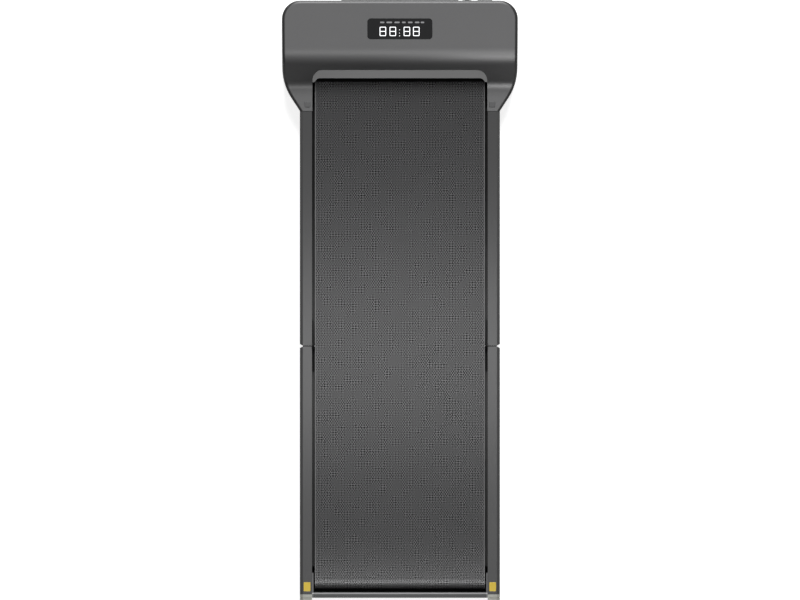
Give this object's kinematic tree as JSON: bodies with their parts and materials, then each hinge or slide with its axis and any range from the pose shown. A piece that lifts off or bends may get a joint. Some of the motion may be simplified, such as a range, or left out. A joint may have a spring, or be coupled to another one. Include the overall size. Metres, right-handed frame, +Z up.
{
  "type": "walking pad",
  "caption": "Flat folding walking pad with a wide motor head, slim side rails and a running belt over a deck that folds in half on side hinges.",
  "frame": {"origin": "on the floor under the middle of the unfolded pad", "axes": "+Y along the belt towards the motor head, +Z up, +X to the right of someone facing the head"},
  "size_m": [0.5554, 1.432, 0.129],
  "materials": {
    "head_plastic": "fine satin moulded plastic",
    "tray_plastic": "coarse moulded plastic",
    "trim_plastic": "satin moulded plastic",
    "display_gloss": "glossy dark window",
    "bumper_plastic": "satin moulded plastic",
    "rail_paint": "fine powder coat",
    "belt_rubber": "fine diamond texture",
    "deck_board": "black faced board",
    "cushion_rubber": "moulded rubber",
    "foot_rubber": "moulded rubber",
    "wheel_rubber": "moulded tread",
    "frame_steel": "black paint",
    "plate_steel": "black paint",
    "hinge_steel": "brushed",
    "shaft_steel": "ground",
    "roller_steel": "turned",
    "motor_paint": "black paint",
    "pulley_metal": "turned",
    "heatsink_metal": "extruded",
    "board_resin": "circuit board",
    "socket_plastic": "moulded plastic",
    "rocker_plastic": "gloss plastic",
    "button_plastic": "moulded plastic",
    "cap_plastic": "pale satin plastic",
    "guard_plastic": "satin moulded plastic",
    "block_plastic": "moulded plastic"
  },
  "bodies": {
    "base": {"base_tray": "tray_plastic", "head_cover": "head_plastic", "mouth_trim": "trim_plastic", "display_window": "display_gloss", "display_board": "board_resin", "front_bumper": "bumper_plastic", "power_inlet": "socket_plastic", "switch_bezel": "socket_plastic", "breaker_body": "socket_plastic", "controller_board": "board_resin", "controller_heatsink": "heatsink_metal", "motor_housing": "motor_paint", "motor_bracket": "frame_steel", "drive_belt": "cushion_rubber", "drive_bearings": "frame_steel", "frame_plate_left": "frame_steel", "frame_plate_right": "frame_steel", "wheel_axles": "shaft_steel", "front_rail_left": "rail_paint", "front_rail_right": "rail_paint", "front_deck_board": "deck_board", "front_deck_cushions": "cushion_rubber", "front_cross_tubes": "frame_steel", "front_bottom_plate": "plate_steel", "front_feet": "foot_rubber", "front_hinge_leaf_left": "hinge_steel", "front_hinge_leaf_right": "hinge_steel", "hinge_pins": "shaft_steel", "running_belt_front": "belt_rubber"},
    "rear_deck": {"rear_rail_left": "rail_paint", "rear_rail_right": "rail_paint", "rail_buffers": "foot_rubber", "rear_deck_board": "deck_board", "rear_deck_cushions": "cushion_rubber", "rear_cross_tubes": "frame_steel", "rear_bottom_plate": "plate_steel", "rear_feet": "foot_rubber", "rear_hinge_leaf_left": "hinge_steel", "rear_hinge_leaf_right": "hinge_steel", "rear_guard": "guard_plastic", "rear_end_cap_left": "cap_plastic", "rear_end_cap_right": "cap_plastic", "idler_axle": "shaft_steel", "tension_blocks": "block_plastic", "running_belt_rear": "belt_rubber"},
    "drive_roller": {"drive_roller": "roller_steel", "drive_shaft": "shaft_steel", "roller_pulley": "pulley_metal"},
    "idler_roller": {"idler_roller": "roller_steel", "idler_bearings": "shaft_steel"},
    "motor_rotor": {"motor_shaft": "shaft_steel", "motor_pulley": "pulley_metal"},
    "wheel_left": {"wheel_left": "wheel_rubber"},
    "wheel_right": {"wheel_right": "wheel_rubber"},
    "power_rocker": {"power_rocker": "rocker_plastic"},
    "breaker_button": {"breaker_button": "button_plastic"},
    "tension_screw_left": {"tension_screw_left": "shaft_steel"},
    "tension_screw_right": {"tension_screw_right": "shaft_steel"}
  },
  "joints": [
    {"name": "deck_fold", "type": "hinge", "parent": "base", "child": "rear_deck", "pos_m": [0, -0.106, 0.0645], "axis": [-1, 0, 0], "range_deg": [0, 180]},
    {"name": "drive_spin", "type": "hinge", "parent": "base", "child": "drive_roller", "pos_m": [0, 0.575, 0.0352], "axis": [1, 0, 0], "continuous": true},
    {"name": "idler_spin", "type": "hinge", "parent": "rear_deck", "child": "idler_roller", "pos_m": [0, -0.6541, 0.0352], "axis": [1, 0, 0], "continuous": true},
    {"name": "motor_spin", "type": "hinge", "parent": "base", "child": "motor_rotor", "pos_m": [-0.2, 0.65, 0.048], "axis": [1, 0, 0], "continuous": true},
    {"name": "wheel_left_spin", "type": "hinge", "parent": "base", "child": "wheel_left", "pos_m": [-0.2, 0.678, 0.0235], "axis": [1, 0, 0], "continuous": true},
    {"name": "wheel_right_spin", "type": "hinge", "parent": "base", "child": "wheel_right", "pos_m": [0.2, 0.678, 0.0235], "axis": [1, 0, 0], "continuous": true},
    {"name": "rocker_tilt", "type": "hinge", "parent": "base", "child": "power_rocker", "pos_m": [0.158, 0.703, 0.066], "axis": [1, 0, 0], "range_deg": [-10, 10]},
    {"name": "breaker_press", "type": "slide", "parent": "base", "child": "breaker_button", "axis": [0, -1, 0], "range_m": [0, 0.0025], "stiffness_N_per_m": 400},
    {"name": "tension_left_turn", "type": "hinge", "parent": "rear_deck", "child": "tension_screw_left", "pos_m": [-0.22125, -0.71, 0.0352], "axis": [0, 1, 0], "range_deg": [-360, 360]},
    {"name": "tension_right_turn", "type": "hinge", "parent": "rear_deck", "child": "tension_screw_right", "pos_m": [0.22125, -0.71, 0.0352], "axis": [0, 1, 0], "range_deg": [-360, 360]}
  ],
  "couplings": [
    {"joint": "idler_spin", "follows": "drive_spin", "ratio": 1},
    {"joint": "motor_spin", "follows": "drive_spin", "ratio": 2.1}
  ]
}
